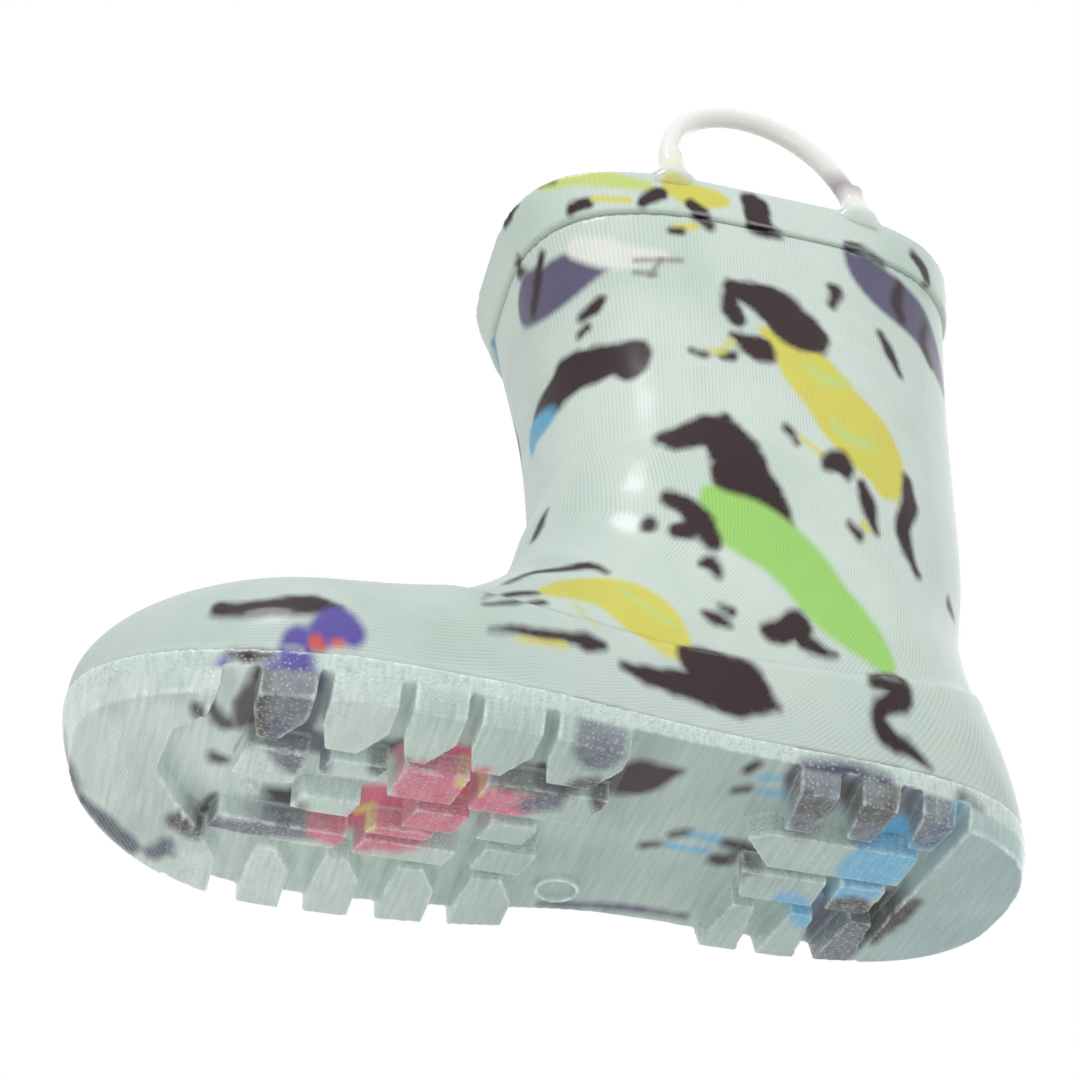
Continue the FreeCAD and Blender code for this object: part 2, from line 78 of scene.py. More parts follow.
# ------------------------------------------------------------------ print on the sock, with a painted highlight and painted shade among the strokes
# Every stroke is a chain of round dabs: places in whole millimetres, then the dab's radius.
# A helper script worked out the lists of the outer side and of the bottom from picked points, which report.md
# names as an open fault. The third list was given one by one.
# Outer side of the boot: toe to heel (Y), height (Z), radius.
OUTER_STROKES = [
    ("slate", [(-11, 124, 4.1), (-10, 124, 4.4), (-8, 122, 4.4), (-5, 122, 4.3), (-1, 122, 2.7),
              (3, 122, 0.8)]),
    ("ink", [(-9, 131, 0.9), (-9, 125, 1.3), (-9, 120, 1.0)]),
    ("ink", [(-13, 135, 0.7), (-12, 133, 1.2), (-12, 129, 0.9)]),
    ("ink", [(-1, 111, 1.0), (1, 112, 1.4), (2, 113, 1.0)]),
    ("ink", [(-1, 107, 0.8), (0, 108, 1.0)]),
    ("ink", [(-6, 96, 2.1), (-4, 97, 3.3), (-2, 99, 3.6), (2, 98, 3.1), (5, 98, 2.9), (8, 97, 3.4),
              (10, 100, 1.0)]),
    ("sky", [(-6, 93, 2.2), (-6, 94, 2.1), (-6, 92, 1.8)]),
    ("sky", [(-6, 94, 1.6), (-6, 90, 0.7)]),
    # The "pale" stroke is a painted highlight, the glare near the rim, not print; its turned copy on the
    # inner side is one too.
    ("pale", [(-3, 128, 2.0), (2, 125, 2.7), (7, 123, 2.1), (13, 123, 1.3)]),
    ("twig", [(8, 122, 0.2), (17, 122, 0.2)]),
    ("twig", [(13, 122, 0.2), (11, 118, 0.2)]),
    ("twig", [(8, 119, 0.2), (12, 118, 0.2)]),
    ("yellow", [(34, 105, 1.2), (38, 102, 3.1), (42, 97, 4.9), (46, 92, 5.4), (49, 87, 5.7),
              (54, 82, 6.1)]),
    ("yellow", [(50, 86, 5.9), (54, 82, 6.2), (57, 78, 5.2), (58, 74, 3.7), (57, 72, 2.3)]),
    ("lime_pale", [(42, 98, 0.5), (46, 95, 1.1), (51, 96, 0.7)]),
    ("lime_pale", [(47, 84, 0.8), (50, 81, 1.1), (55, 81, 0.8)]),
    ("ink", [(27, 116, 1.5), (27, 111, 1.9), (28, 108, 1.7)]),
    ("ink", [(29, 115, 2.1), (33, 114, 3.1), (37, 112, 4.2), (40, 108, 4.3), (44, 106, 3.1),
              (46, 104, 0.8)]),
    ("ink", [(19, 98, 0.4), (21, 97, 0.7), (22, 97, 0.4)]),
    ("ink", [(25, 97, 0.8), (27, 97, 1.0)]),
    ("ink", [(27, 103, 0.7), (30, 101, 1.8), (33, 100, 2.3), (35, 98, 0.7)]),
    ("yellow", [(23, 98, 0.5), (25, 98, 0.5)]),
    ("yellow", [(26, 100, 0.7), (27, 101, 0.5)]),
    ("ink", [(49, 122, 0.9), (50, 121, 1.3), (49, 117, 1.0)]),
    ("ink", [(60, 113, 0.8), (62, 109, 1.3), (64, 105, 0.8)]),
    ("slate", [(54, 134, 1.3), (57, 130, 3.3), (61, 127, 4.3), (66, 125, 4.5), (71, 123, 4.2),
              (75, 119, 3.6), (79, 115, 2.2)]),
    ("ink", [(66, 130, 1.0), (65, 125, 1.3), (66, 121, 0.9)]),
    ("ink", [(73, 124, 1.0), (72, 119, 1.3), (74, 115, 0.9)]),
    ("ink", [(53, 135, 0.6), (57, 135, 0.9), (62, 134, 0.6)]),
    ("lime_pale", [(-10, 145, 1.7), (-4, 144, 1.6), (4, 142, 1.4), (10, 141, 0.9)]),
    ("yellow", [(15, 142, 2.2), (19, 140, 2.4), (24, 140, 1.9), (26, 140, 1.2)]),
    ("ink", [(-11, 145, 0.7), (-9, 145, 0.7)]),
    ("ink", [(-16, 144, 0.7), (-15, 145, 1.0)]),
    ("ink", [(-17, 145, 0.7), (-16, 145, 0.6)]),
    ("ink", [(-5, 137, 1.1), (-2, 137, 1.0)]),
    ("yellow", [(-1, 138, 0.5), (6, 137, 0.6)]),
    ("ink", [(9, 137, 1.3), (12, 139, 1.3), (13, 139, 1.0)]),
    ("ink", [(19, 137, 1.3), (21, 135, 1.7), (23, 133, 0.9)]),
    ("ink", [(31, 142, 1.4), (33, 140, 2.6), (34, 135, 2.2), (38, 134, 0.7)]),
    ("yellow", [(16, 131, 0.7), (20, 132, 0.7)]),
    ("ink", [(15, 130, 0.6), (17, 130, 0.7)]),
    ("ink", [(70, 140, 1.0), (73, 138, 1.3), (74, 135, 0.9)]),
    ("ink", [(13, 76, 1.1), (16, 76, 2.0), (21, 77, 2.8), (24, 76, 3.6), (27, 71, 4.7), (28, 66, 5.1),
              (31, 62, 4.6), (34, 59, 2.9), (37, 57, 0.9)]),
    ("ink", [(24, 76, 2.6), (25, 80, 1.5)]),
    ("lime", [(22, 62, 1.8), (24, 58, 3.7), (29, 55, 4.8), (34, 52, 4.8), (39, 47, 4.9),
              (43, 41, 4.7), (47, 37, 4.2), (51, 33, 3.2), (54, 29, 1.7)]),
    ("ink", [(14, 62, 1.2), (17, 60, 1.7), (20, 56, 2.2), (22, 52, 1.7), (23, 51, 0.5)]),
    ("ink", [(16, 54, 1.3), (18, 54, 1.5)]),
    ("ink", [(11, 56, 1.4), (11, 56, 1.4)]),
    ("ink", [(20, 46, 0.6), (22, 46, 1.3), (23, 44, 0.9)]),
    ("ink", [(23, 36, 0.7), (25, 35, 1.0)]),
    ("ink", [(20, 34, 0.6), (22, 33, 1.0), (24, 32, 0.7)]),
    ("ink", [(31, 32, 1.1), (34, 32, 2.3), (37, 34, 2.4), (38, 31, 1.8), (42, 29, 0.9), (44, 29, 0.4)]),
    ("ink", [(37, 80, 0.7), (38, 79, 0.8), (39, 77, 0.5)]),
    ("yellow", [(40, 78, 0.4), (44, 75, 0.5)]),
    ("ink", [(45, 73, 1.3), (48, 74, 2.2), (49, 71, 0.8)]),
    ("ink", [(52, 70, 0.9), (53, 66, 1.6), (54, 62, 0.9), (55, 60, 0.4)]),
    ("yellow", [(52, 61, 0.7), (53, 60, 0.5)]),
    ("ink", [(49, 60, 0.6), (51, 58, 0.8)]),
    ("ink", [(63, 76, 1.3), (63, 70, 1.9), (61, 64, 1.7), (62, 59, 1.4), (64, 55, 0.7)]),
    ("ink", [(-5, 67, 0.5), (-6, 64, 1.2), (-7, 61, 0.8)]),
    ("ink", [(73, 54, 1.2), (75, 53, 0.8)]),
    ("yellow", [(-9, 33, 1.3), (-5, 35, 2.7), (1, 36, 3.8), (6, 34, 4.8), (10, 30, 5.0),
              (13, 26, 3.7)]),
    ("lime_pale", [(5, 38, 0.5), (9, 34, 0.6), (14, 30, 0.5)]),
    ("lime_pale", [(-4, 30, 0.5), (-1, 25, 0.5)]),
    ("ink", [(-16, 35, 0.5), (-11, 41, 0.9), (-5, 43, 1.0), (0, 45, 1.1), (3, 43, 0.6)]),
    ("ink", [(-21, 26, 0.3), (-16, 30, 0.5), (-11, 32, 0.8)]),
    ("ink", [(-21, 24, 0.2), (-16, 26, 0.5), (-10, 29, 0.6)]),
    ("ink", [(4, 17, 0.8), (8, 16, 1.3), (14, 16, 2.0), (19, 16, 2.7)]),
    ("ink", [(16, 23, 1.8), (19, 21, 3.7), (23, 18, 4.7), (26, 18, 4.2), (29, 16, 2.4), (32, 15, 0.8)]),
    ("ink", [(-20, 18, 0.5), (-16, 19, 0.8), (-11, 19, 0.9), (-5, 20, 1.1), (-3, 20, 1.6),
              (0, 20, 0.8)]),
    ("yellow", [(-15, 17, 0.3), (-7, 18, 0.5)]),
    ("ink", [(51, 24, 1.2), (55, 24, 2.2), (55, 21, 2.2), (52, 19, 1.6), (51, 16, 1.4), (53, 13, 1.6),
              (56, 12, 1.2), (59, 10, 0.6), (61, 9, 0.3)]),
    ("ink", [(-65, 18, 1.3), (-60, 17, 1.4), (-54, 18, 1.8), (-50, 18, 1.9), (-46, 17, 0.8)]),
    ("ink", [(-62, 8, 0.6), (-59, 7, 1.0), (-56, 7, 0.8)]),
    ("violet", [(-63, 6, 0.9), (-58, 5, 1.5), (-55, 4, 1.5)]),
    ("violet", [(-48, 12, 2.4), (-46, 14, 2.7), (-43, 12, 1.8)]),
    ("violet", [(-52, 10, 2.3), (-52, 7, 2.6), (-51, 4, 2.3)]),
    ("orange", [(-49, 10, 0.9), (-48, 9, 0.6)]),
    ("orange", [(-46, 10, 0.4), (-45, 10, 0.5)]),
    # This "shadow" band along the welt behind the heel lugs is partly print and partly painted shade.
    ("shadow", [(37, 4, 1.1), (45, 5, 1.3), (52, 4, 1.3), (59, 4, 1.3), (67, 5, 1.0), (71, 4, 0.6)]),
]
# Bottom of the sock, seen through the sole: across (X), toe to heel (Y), radius.
# Its "shadow" dabs, along the sole's edges and on the heel lugs, are partly print and partly painted shade.
SOLE_STROKES = [
    ("ink", [(16, -58, 1.2), (21, -57, 2.7), (32, -56, 2.2)]),
    ("ink", [(24, -66, 0.9), (16, -62, 1.4), (15, -60, 0.9)]),
    ("ink", [(23, -57, 2.8), (24, -56, 3.0), (21, -53, 2.8)]),
    ("shadow", [(34, -51, 4.1), (28, -50, 4.7), (17, -49, 3.6), (15, -44, 2.2)]),
    ("ink", [(4, -61, 1.2), (4, -59, 0.9)]),
    ("ink", [(-3, -50, 1.3), (-4, -47, 1.6), (0, -45, 1.3)]),
    ("ink", [(-12, -65, 1.8), (-14, -61, 1.6), (-9, -59, 0.9)]),
    ("shadow", [(-22, -66, 2.1), (-25, -68, 1.8)]),
    ("ink", [(17, -35, 0.9), (17, -33, 1.2), (20, -30, 0.6)]),
    ("shadow", [(-11, -59, 1.8), (-8, -50, 1.7), (-7, -42, 1.7)]),
    ("pink", [(16, -30, 1.6), (18, -25, 2.6), (18, -21, 1.6), (21, -17, 0.9)]),
    ("pink", [(-6, -41, 1.8), (-6, -36, 3.1), (-3, -32, 5.0), (-2, -27, 4.7), (2, -23, 5.3),
              (5, -19, 4.0), (11, -15, 3.6), (12, -10, 3.0), (13, -7, 2.0)]),
    ("pink", [(12, -28, 2.9), (14, -23, 3.9), (7, -17, 3.3)]),
    ("yellow", [(-4, -34, 0.8), (-3, -32, 0.5)]),
    ("yellow", [(16, -20, 0.6), (14, -16, 0.5)]),
    ("ink", [(17, -14, 0.4), (17, -8, 0.8), (17, -3, 0.9)]),
    ("ink", [(17, -6, 1.0), (17, -3, 1.4), (21, 0, 1.6)]),
    ("shadow", [(13, -7, 1.8), (15, -3, 1.8)]),
    ("ink", [(22, 2, 1.6), (18, 6, 2.9), (19, 10, 3.7), (20, 13, 2.9), (22, 15, 1.6), (23, 17, 0.6)]),
    ("shadow", [(33, 0, 4.2), (32, 1, 3.7)]),
    ("ink", [(27, 28, 0.9), (29, 29, 0.9)]),
    ("ink", [(20, 28, 0.8), (21, 30, 0.9)]),
    ("sky", [(25, 31, 0.4), (26, 36, 0.5)]),
    ("sky", [(21, 32, 0.4), (21, 37, 0.5)]),
    ("ink", [(3, 22, 0.8), (4, 24, 0.8)]),
    ("ink", [(-2, 18, 0.8), (-1, 20, 0.9)]),
    ("sky", [(4, 25, 0.3), (3, 32, 0.5)]),
    ("sky", [(-1, 22, 0.3), (-1, 29, 0.5)]),
    ("ink", [(3, 32, 0.9), (2, 36, 1.2), (2, 38, 0.7)]),
    ("ink", [(-3, 31, 0.9), (-3, 34, 1.5), (2, 35, 0.9)]),
    ("sky", [(25, 66, 2.2), (18, 63, 3.9), (11, 60, 4.9), (2, 58, 4.0), (-11, 55, 3.1), (-6, 46, 2.0)]),
    ("sky", [(15, 56, 3.9), (9, 55, 3.9)]),
    ("ink", [(-7, 54, 1.5), (-4, 58, 1.7), (-12, 67, 1.5), (-8, 67, 1.0)]),
    ("ink", [(-15, 67, 1.8), (-15, 65, 1.8)]),
    ("shadow", [(29, 40, 5.5), (22, 42, 4.7)]),
    ("shadow", [(27, 51, 5.3), (22, 53, 4.5)]),
    ("shadow", [(27, 61, 4.4), (23, 63, 3.6)]),
    ("ink", [(26, 37, 1.9), (25, 48, 1.9), (29, 54, 1.6)]),
    ("shadow", [(-16, 60, 6.2), (-21, 61, 5.0)]),
    ("ink", [(-5, 58, 2.3), (-9, 67, 2.3), (-1, 69, 1.3)]),
    ("shadow", [(-2, -87, 0.7), (-7, -85, 0.9), (-13, -83, 0.8)]),
    ("shadow", [(-15, -82, 1.1), (-20, -77, 1.6), (-25, -72, 1.7)]),
    ("shadow", [(-28, 5, 0.6), (-25, 20, 0.8), (-25, 33, 0.6)]),
]
# Front, back and instep: across (X), toe to heel (Y), height (Z), radius.
ROUND_STROKES = [
    ("ink", [(-20, -14, 112, 1.5), (-17, -12, 107, 3), (-13, -10, 100, 3.2), (-12, -8, 94, 1.5)]),
    ("yellow", [(-28, -8, 104, 2), (-30, -5, 95, 4.5), (-27, -4, 86, 5.5), (-22, -5, 77, 3.5)]),
    ("sky", [(-14, -13, 132, 2), (-18, -9, 124, 3.6), (-20, -6, 116, 2.2)]),
    ("ink", [(-22, -14, 127, 1.4), (-26, -12, 122, 2.4), (-29, -9, 117, 1)]),
    ("violet", [(-20, -9, 66, 2.4), (-23, -15, 60, 3.4), (-21, -21, 55, 2)]),
    ("ink", [(-5, -14, 60, 1.2), (-10, -19, 56, 2.6), (-16, -24, 52, 3.2), (-20, -29, 48, 1.6)]),
    ("yellow", [(-4, -78, 30, 2), (3, -74, 34, 3.6), (11, -69, 36, 4.2), (17, -62, 36, 2.4)]),
    ("ink", [(18, -58, 38, 1.2), (22, -50, 38, 2.6), (25, -43, 38, 2.8), (26, -36, 40, 1.4)]),
    ("pink", [(-2, -44, 44, 2), (-6, -38, 46, 3.4), (-9, -32, 50, 2.4)]),
    ("sky", [(8, -26, 50, 1.2), (10, -31, 48, 2.4), (13, -35, 46, 1.4)]),
    ("ink", [(-14, -36, 46, 1), (-17, -31, 46, 2)]),
    ("ink", [(-20, -70, 26, 1.4), (-24, -64, 26, 2.8), (-27, -57, 25, 1.6)]),
    ("lime", [(-24, -38, 42, 2), (-14, -46, 40, 4.4), (-13, -55, 38, 4.8), (-8, -63, 34, 2.6)]),
    ("ink", [(-3, -66, 34, 1.4), (2, -60, 36, 3), (8, -54, 37, 3.2), (12, -47, 38, 1.4)]),
    ("slate", [(-24, -62, 22, 2.6), (-27, -52, 24, 4), (-28, -42, 26, 2.2)]),
    ("ink", [(0, -34, 41, 1), (3, -30, 42, 1.8)]),
    ("ink", [(3, -76, 27, 1), (-4, -74, 29, 2.2), (-10, -71, 28, 1.2)]),
    ("lime", [(-13, 83, 112, 2.4), (-8, 85, 101, 5), (-1, 85, 89, 5.6), (6, 84, 78, 3)]),
    ("ink", [(-18, 82, 124, 1.6), (-12, 84, 120, 3.6), (-5, 86, 116, 3.8), (2, 86, 110, 1.4)]),
    ("ink", [(9, 83, 72, 1.6), (12, 81, 64, 2.6), (10, 80, 56, 1.8)]),
    ("yellow", [(-8, 81, 52, 2), (-14, 81, 45, 4), (-16, 83, 37, 3.6), (-12, 85, 30, 1.8)]),
    ("ink", [(-4, 84, 30, 1.4), (3, 86, 25, 3), (11, 84, 20, 2.2)]),
    ("ink", [(12, 86, 130, 1.2), (15, 85, 127, 2)]),
    ("pink", [(8, 85, 134, 1.6), (0, 86, 132, 3), (-7, 86, 133, 1.8)]),
]
# "shadow" is a dark purple-grey that stands partly for print and partly for painted shade.
PRINT_COLOURS = {
    "ink": "#321e22", "slate": "#5f5a78", "yellow": "#dcd660", "lime": "#a2d872", "lime_pale": "#cbdc84",
    "sky": "#5cacd6", "pale": "#e8ebe4", "twig": "#77736c", "violet": "#5f54a4", "orange": "#dc5a38",
    "pink": "#cf5f7e", "shadow": "#474560",
}
GROUND = "#d5e2db"          # pale mint knit
PRINT_EDGE = 1.5            # softness of a stroke's border, in millimetres
SOLE_SQUAT = 0.65           # under the sole they are drawn wider across the foot, by one over this
BOLD = 1.12                 # side strokes spread a little as the print soaks into the knit
SQUAT = 0.78                # the strokes are drawn taller than wide, by one over this


def linear(code):
    """sRGB hex colour as linear RGBA."""
    values = [int(code[i:i + 2], 16) / 255 for i in (1, 3, 5)]
    return [v / 12.92 if v <= 0.04045 else ((v + 0.055) / 1.055) ** 2.4 for v in values] + [1.0]


def soft_noise(points, size, seed):
    """Smooth random values from -1 to 1 over points in millimetres, with blobs about size across."""
    lattice = np.random.default_rng(seed).uniform(-1, 1, (32, 32, 32))
    place = points / size
    cell = np.floor(place).astype(int)
    part = place - cell
    part = part * part * (3 - 2 * part)
    total = np.zeros(len(points))
    for corner in range(8):
        step = np.array([corner & 1, corner >> 1 & 1, corner >> 2 & 1])
        weight = np.prod(np.where(step, part, 1 - part), axis=1)
        index = (cell + step) % 32
        total += weight * lattice[index[:, 0], index[:, 1], index[:, 2]]
    return total


def rounded(dabs):
    """The same stroke with two more dabs in every gap, on a smooth curve through the dabs."""
    rows = np.array([[*place, radius] for place, radius in dabs])
    rows = np.vstack([rows[:1], rows, rows[-1:]])
    out = [rows[0]]
    for before, start, end, after in zip(rows, rows[1:], rows[2:], rows[3:]):
        for share in (1 / 3, 2 / 3, 1):
            bend = share * (1 - share) / 2
            step = end - start
            out.append(start + step * share + bend * ((1 - share) * (end - before - step * 2)
                                                      - share * (after - start - step * 2)))
    return [(row[:3], max(row[3], 0.3)) for row in out]


def stroke_distance(points, dabs):
    """Signed distance in millimetres from points to a chain of dabs; each dab is a place and a radius."""
    best = np.full(len(points), 1e9)
    chain = list(zip(dabs, dabs[1:])) or [(dabs[0], dabs[0])]
    for (start, start_radius), (end, end_radius) in chain:
        along = end - start
        share = np.clip((points - start) @ along / max(along @ along, 1e-9), 0, 1)
        gap = np.linalg.norm(points - start - share[:, None] * along, axis=1)
        best = np.minimum(best, gap - start_radius - share * (end_radius - start_radius))
    return best


def lay(colours, amount, code):
    """Put one colour over the others by amount, from 0 to 1."""
    colour = np.array(linear(code)[:3])
    colours += amount[:, None] * (colour - colours)


def points_of(obj):
    flat = np.zeros(len(obj.data.vertices) * 3)
    obj.data.vertices.foreach_get("co", flat)
    return flat.reshape(-1, 3) / MM


def normals_of(obj):
    flat = np.zeros(len(obj.data.vertices) * 3)
    obj.data.vertex_normals.foreach_get("vector", flat)
    return flat.reshape(-1, 3)


def outside_of_boot():
    """One tree over the CAD outside, for putting strokes on the surface."""
    joined = bmesh.new()
    for name in ("upper_shell", "rim_band", "outsole"):
        joined.from_mesh(frame["nodes"][name].data)
    tree = BVHTree.FromBMesh(joined)
    joined.free()
    return tree


OUTSIDE = outside_of_boot()


def on_side(y, z, side):
    """Point of the boot's side at y and z, in millimetres; side is +1 for the outer side."""
    hit = OUTSIDE.ray_cast(Vector((side * 0.2, y * MM, z * MM)), Vector((-side, 0, 0)))[0]
    return np.array([hit.x, hit.y, hit.z]) / MM if hit else np.array([side * 15.0, y, z])


def side_strokes():
    """Strokes of both sides as colour and dabs. The inner side carries the same strokes turned round."""
    out = []
    for colour, chain in OUTER_STROKES:
        out.append((colour, [(on_side(y, z, 1), radius) for y, z, radius in chain]))
        if all(z > 24 for y, z, radius in chain):
            out.append((colour, [(on_side(70 - y, 162 - z, -1), radius) for y, z, radius in chain]))
        elif all(y < 30 for y, z, radius in chain):
            out.append((colour, [(on_side(y + 9, z + 3, -1), radius) for y, z, radius in chain]))
    for colour, chain in ROUND_STROKES:
        dabs = []
        for x, y, z, radius in chain:
            hit = OUTSIDE.find_nearest(Vector((x, y, z)) * MM)[0]
            dabs.append((np.array([hit.x, hit.y, hit.z]) / MM, radius))
        out.append((colour, dabs))
    return out


SIDE_STROKES = side_strokes()


def printed(points, edge):
    """Colours of the knit under the outside at points, with stroke edges about edge millimetres soft."""
    colours = np.tile(linear(GROUND)[:3], (len(points), 1))
    cloud = soft_noise(points, 17, 11) + 0.4 * soft_noise(points, 7, 13)
    lay(colours, np.clip(cloud, 0, 1) * 0.5, "#d9e4de")
    lay(colours, np.clip(-cloud, 0, 1) * 0.45, "#b3c9bf")
    lay(colours, np.clip((40 - points[:, 2]) / 28, 0, 1) * 0.4, "#adbfb8")
    squat = np.array([1, 1, SQUAT])
    wander = 0.42 * soft_noise(points, 2.6, 3) + 0.14 * soft_noise(points, 1.2, 5)
    for colour, dabs in SIDE_STROKES:
        dabs = rounded([(place * squat, radius * BOLD) for place, radius in dabs])
        reach = max(np.linalg.norm(place - dabs[0][0]) + radius for place, radius in dabs) + 4
        near = np.linalg.norm(points * squat - dabs[0][0], axis=1) < reach
        if near.any():
            gap = stroke_distance(points[near] * squat, dabs) + (wander[near] if colour == "ink" else 0)
            part = colours[near]
            lay(part, np.clip(0.5 - gap / edge, 0, 1), PRINT_COLOURS[colour])
            colours[near] = part
    return colours


def printed_sole(points, edge):
    """Colours of the bottom of the sock at points, seen through the clear sole."""
    colours = np.tile(linear(GROUND)[:3], (len(points), 1))
    lay(colours, np.clip((points[:, 1] + 60) / 60, 0, 1) * 0.85, "#9db0ac")
    lay(colours, np.clip((-points[:, 1] - 30) / 35, 0, 1) * 0.5, "#cdd7d4")
    cloud = soft_noise(points * np.array([1, 1, 0]), 9, 17)
    lay(colours, np.clip(cloud, 0, 1) * 0.35, "#c6d3cf")
    lay(colours, np.clip(-cloud, 0, 1) * 0.4, "#8da09d")
    lay(colours, np.clip((points[:, 1] - 58) / 20, 0, 1) * 0.22, "#8bb6c6")
    flat = points * np.array([SOLE_SQUAT, 1, 0])
    wander = 0.35 * soft_noise(flat, 2.0, 7)
    for colour, chain in SOLE_STROKES:
        dabs = rounded([(np.array([x * SOLE_SQUAT, y, 0.0]), radius) for x, y, radius in chain])
        gap = stroke_distance(flat, dabs) + wander
        lay(colours, np.clip(0.5 - gap / edge, 0, 1) * (0.9 if colour == "shadow" else 1.0),
            PRINT_COLOURS[colour])
    return colours


# ------------------------------------------------------------------ mesh work
def loose_copy(name, *nodes):
    """New object holding copies of CAD meshes, standing where they stand."""
    joined = bmesh.new()
    for node_name in nodes:
        joined.from_mesh(frame["nodes"][node_name].data)
    mesh = bpy.data.meshes.new(name)
    joined.to_mesh(mesh)
    joined.free()
    obj = bpy.data.objects.new(name, mesh)
    bpy.context.scene.collection.objects.link(obj)
    return obj


def apply_modifiers(obj):
    evaluated = obj.evaluated_get(bpy.context.evaluated_depsgraph_get())
    mesh = bpy.data.meshes.new_from_object(evaluated)
    obj.modifiers.clear()
    obj.data = mesh
    return obj


def even_skin(obj, spacing, rounds):
    """Even quads all over obj, spacing millimetres apart, with its edges softened like a moulding's."""
    remesh = obj.modifiers.new("even", "REMESH")
    remesh.mode = "VOXEL"
    remesh.voxel_size = spacing * MM
    relax = obj.modifiers.new("relax", "SMOOTH")
    relax.factor = 0.5
    relax.iterations = rounds
    apply_modifiers(obj)
    obj.data.polygons.foreach_set("use_smooth", [True] * len(obj.data.polygons))
    obj.data.update()
    return obj


def paint(obj, name, values):
    """Store one colour, vector or number per vertex."""
    kinds = {1: ("FLOAT", "value"), 3: ("FLOAT_VECTOR", "vector"), 4: ("FLOAT_COLOR", "color")}
    width = values.shape[1] if values.ndim > 1 else 1
    kind, field = kinds[width]
    attribute = obj.data.attributes.new(name, kind, "POINT")
    attribute.data.foreach_set(field, values.astype(np.float32).ravel())


def edge_ends(obj):
    ends = np.zeros(len(obj.data.edges) * 2, dtype=int)
    obj.data.edges.foreach_get("vertices", ends)
    return ends.reshape(-1, 2)


def split_print_edges(obj, colour_of, least=0.06):
    """Split the mesh edges that cross the border of a stroke, so that the border stays fine."""
    colours, ends = colour_of(points_of(obj)), edge_ends(obj)
    crossing = np.nonzero(np.abs(colours[ends[:, 0]] - colours[ends[:, 1]]).max(axis=1) > least)[0]
    work = bmesh.new()
    work.from_mesh(obj.data)
    work.edges.ensure_lookup_table()
    bmesh.ops.subdivide_edges(work, edges=[work.edges[i] for i in crossing], cuts=1, use_grid_fill=True)
    work.to_mesh(obj.data)
    work.free()


def bulge(obj, spacing):
    """How convex the surface is at each point: about 1 on a moulded edge, -1 in a corner."""
    points, ends = points_of(obj), edge_ends(obj)
    total, count = np.zeros_like(points), np.zeros(len(points))
    for here, there in ((0, 1), (1, 0)):
        np.add.at(total, ends[:, here], points[ends[:, there]])
        np.add.at(count, ends[:, here], 1)
    offset = total / np.maximum(count, 1)[:, None] - points
    value = -4 * (offset * normals_of(obj)).sum(axis=1) / spacing
    for _ in range(2):
        total = np.zeros(len(points))
        for here, there in ((0, 1), (1, 0)):
            np.add.at(total, ends[:, here], value[ends[:, there]])
        value = (value + total / np.maximum(count, 1)) / 2
    return np.clip(value, -1, 1)


def paint_colour(obj, colours):
    paint(obj, "print", np.hstack([colours, np.ones((len(colours), 1))]))


def knit_run(points):
    """Direction round the sock as cosine and sine, and distance along it in millimetres."""
    ankle, fan = ANKLE_Z / MM, FAN_Y / MM
    lean = np.degrees(np.arctan2(ankle - points[:, 2], points[:, 1] - fan))
    lean = np.where(points[:, 2] > ankle, 0, np.where(points[:, 1] < fan, 90, lean))
    middle = np.interp(lean, [0, 27, 45, 60, 75, 90], [69, 78, 77, 68, 64, 65])
    angle = np.radians(lean)
    reach = (points[:, 1] - fan) * np.cos(angle) + (ankle - points[:, 2]) * np.sin(angle) - middle
    leg, foot = np.maximum(points[:, 2] - ankle, 0), np.maximum(fan - points[:, 1], 0)
    length = np.hypot(reach, points[:, 0]) + 1e-6
    return np.stack([reach / length, points[:, 0] / length, foot - leg + angle * 70], axis=1)


# ------------------------------------------------------------------ material helpers
def new_material(name):
    material = bpy.data.materials.new(name)
    material.use_nodes = True
    material.node_tree.nodes.clear()
    return material, material.node_tree


def cells_of(millimetres):
    """Scale of a texture whose cells are this wide."""
    return 1 / (millimetres * MM)


def add(tree, kind, settings=None, links=None):
    """Add a node, set its properties or inputs by name or number, and link its inputs."""
    made = tree.nodes.new(kind)
    for key, value in (settings or {}).items():
        if isinstance(key, str) and hasattr(made, key):
            setattr(made, key, value)
        else:
            made.inputs[key].default_value = value
    for key, source in (links or {}).items():
        tree.links.new(source, made.inputs[key])
    return made


def finish_material(tree, shader):
    add(tree, "ShaderNodeOutputMaterial", links={"Surface": shader.outputs[0]})


def knit_lines(tree, wales, course_mm):
    """Grooves between the knit's columns and rows, 0 on the yarn and 1 in the groove.

    wales is the number of columns round the sock; 330 puts them about 0.8 mm apart round the leg."""
    run = add(tree, "ShaderNodeAttribute", {"attribute_name": "knit"})
    axes = add(tree, "ShaderNodeSeparateXYZ", links={0: run.outputs["Vector"]})
    turn = add(tree, "ShaderNodeMath", {"operation": "ARCTAN2"},
               {0: axes.outputs["Y"], 1: axes.outputs["X"]})
    column = add(tree, "ShaderNodeMath", {"operation": "MULTIPLY", 1: float(wales)}, {0: turn.outputs[0]})
    column = add(tree, "ShaderNodeMath", {"operation": "COSINE"}, {0: column.outputs[0]})
    row = add(tree, "ShaderNodeMath", {"operation": "MULTIPLY", 1: 2 * math.pi / course_mm},
              {0: axes.outputs["Z"]})
    row = add(tree, "ShaderNodeMath", {"operation": "COSINE"}, {0: row.outputs[0]})
    row = add(tree, "ShaderNodeMath", {"operation": "MULTIPLY", 1: 0.16}, {0: row.outputs[0]})
    both = add(tree, "ShaderNodeMath", {"operation": "ADD"}, {0: column.outputs[0], 1: row.outputs[0]})
    return add(tree, "ShaderNodeMapRange", {"From Min": -0.2, "From Max": 1.3}, {"Value": both.outputs[0]})


